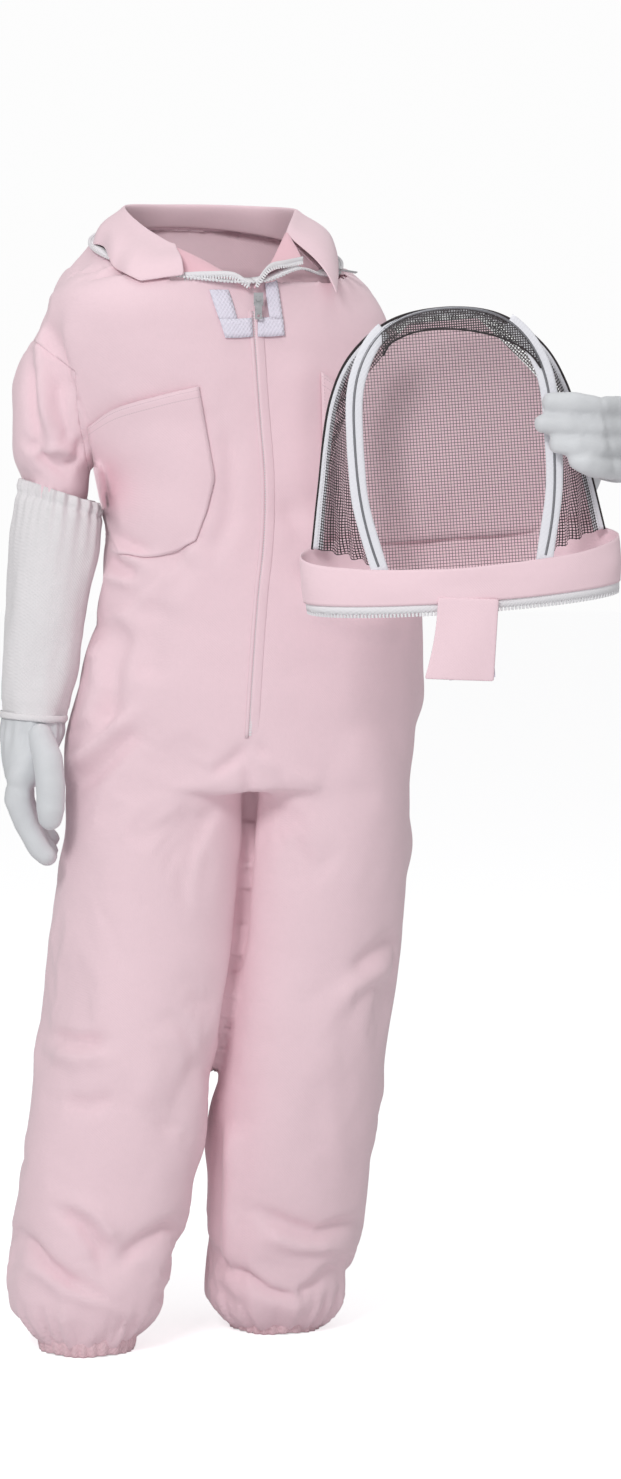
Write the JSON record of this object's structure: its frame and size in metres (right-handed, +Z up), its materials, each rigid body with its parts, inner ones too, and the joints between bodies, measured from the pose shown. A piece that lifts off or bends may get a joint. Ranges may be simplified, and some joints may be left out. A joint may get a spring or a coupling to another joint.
{
  "type": "beekeeping suit",
  "caption": "Hooded beekeeping coverall as worn, right arm hanging, left gauntlet glove holding the detached netting hood.",
  "frame": {"origin": "centre of the circular neck zip that joins the hood to the coverall", "axes": "+Z up, -Y to the front, +X to the wearer's left; the hem of each leg is 1.28 m below the origin"},
  "size_m": [0.7181, 0.5827, 1.3598],
  "materials": {
    "coverall_cloth": "pale pink plain-weave polycotton, soft and matte",
    "elastic": "gathered knitted elastic",
    "fastener_white": "white loop pile",
    "zip_tape": "white twill tape",
    "zip_teeth": "moulded white",
    "zip_metal": "bright nickel",
    "glove_leather": "soft pale grey grain leather",
    "gauntlet_canvas": "off-white cotton canvas",
    "hoop_wire": "sprung wire",
    "white_binding": "white woven webbing",
    "netting": "fine black netting, see-through"
  },
  "bodies": {
    "coverall": {"front_panel_right": "coverall_cloth", "front_panel_left": "coverall_cloth", "back_panel_right": "coverall_cloth", "back_panel_left": "coverall_cloth", "back_waist_elastic": "elastic", "chest_pocket_right": "coverall_cloth", "chest_pocket_left": "coverall_cloth", "loop_patch_right": "fastener_white", "loop_patch_left": "fastener_white", "front_zip_tape_right": "zip_tape", "front_zip_tape_left": "zip_tape", "front_zip_teeth_right": "zip_teeth", "front_zip_teeth_left": "zip_teeth", "front_zip_bottom_stop": "zip_metal", "neck_zip_tape": "zip_tape", "neck_zip_teeth": "zip_teeth", "collar_stand": "coverall_cloth", "collar_leaf": "coverall_cloth", "right_ankle_elastic": "elastic", "left_ankle_elastic": "elastic"},
    "front_zip_slider": {"front_zip_slider": "zip_metal"},
    "front_zip_pull": {"front_zip_pull": "zip_metal"},
    "neck_zip_slider": {"neck_zip_slider": "zip_metal"},
    "neck_zip_pull": {"neck_zip_pull": "zip_metal"},
    "right_sleeve": {"right_sleeve": "coverall_cloth", "right_sleeve_elastic": "elastic"},
    "left_sleeve": {"left_sleeve": "coverall_cloth", "left_sleeve_elastic": "elastic"},
    "right_glove": {"right_glove_gauntlet": "gauntlet_canvas", "right_gauntlet_elastic": "elastic", "right_glove_wrist_band": "glove_leather", "right_glove_hand": "glove_leather", "right_glove_thumb": "glove_leather"},
    "left_glove": {"left_glove_gauntlet": "gauntlet_canvas", "left_gauntlet_elastic": "elastic", "left_glove_wrist_band": "glove_leather", "left_glove_hand": "glove_leather", "left_glove_thumb": "glove_leather"},
    "hood": {"hood_band": "coverall_cloth", "hood_zip_tape": "zip_tape", "hood_zip_teeth": "zip_teeth", "hood_front_hoop": "hoop_wire", "hood_rear_hoop": "hoop_wire", "hood_front_binding": "white_binding", "hood_rear_binding": "white_binding", "hood_front_mesh": "netting", "hood_side_mesh": "netting", "hood_back_panel": "coverall_cloth"},
    "hood_flap": {"hood_flap": "coverall_cloth", "hood_flap_hook_patch": "fastener_white"}
  },
  "joints": [
    {"name": "front_zip_travel", "type": "slide", "parent": "coverall", "child": "front_zip_slider", "axis": [0, 0, -1], "range_m": [0, 0.49]},
    {"name": "front_zip_pull_swing", "type": "hinge", "parent": "front_zip_slider", "child": "front_zip_pull", "pos_m": [0.052, -0.1376, -0.06], "axis": [-1, 0, 0], "range_deg": [0, 135]},
    {"name": "neck_zip_travel", "type": "hinge", "parent": "coverall", "child": "neck_zip_slider", "pos_m": [0, 0, 0], "axis": [0.0971, -0.2669, 0.9588], "range_deg": [0, 290]},
    {"name": "neck_zip_pull_swing", "type": "hinge", "parent": "neck_zip_slider", "child": "neck_zip_pull", "pos_m": [0.1436, -0.04479, -0.02117], "axis": [-0.3201, -0.9206, -0.2238], "range_deg": [-8, 55]},
    {"name": "right_shoulder_swing", "type": "hinge", "parent": "coverall", "child": "right_sleeve", "pos_m": [-0.166, -0.044, -0.158], "axis": [-0.9237, -0.2475, -0.2924], "range_deg": [-20, 60]},
    {"name": "left_shoulder_swing", "type": "hinge", "parent": "coverall", "child": "left_sleeve", "pos_m": [0.196, 0.052, -0.158], "axis": [-0.9237, -0.2475, 0.2924], "range_deg": [-8, 35], "stiffness_Nm_per_rad": 8, "springref_deg": 17.19},
    {"name": "right_glove_slide", "type": "slide", "parent": "right_sleeve", "child": "right_glove", "axis": [-0.105, 0.005, -0.9945], "range_m": [0, 0.12], "stiffness_N_per_m": 100, "springref_m": -0.036},
    {"name": "left_glove_slide", "type": "slide", "parent": "left_sleeve", "child": "left_glove", "axis": [0.2938, -0.9025, 0.3148], "range_m": [0, 0.12]},
    {"name": "hood_release", "type": "slide", "parent": "left_glove", "child": "hood", "axis": [-0.9976, 0, -0.0698], "range_m": [0, 0.15]},
    {"name": "hood_flap_swing", "type": "hinge", "parent": "hood", "child": "hood_flap", "pos_m": [0.28037, -0.4086, -0.39678], "axis": [-0.9976, 0, -0.0698], "range_deg": [0, 120]}
  ]
}
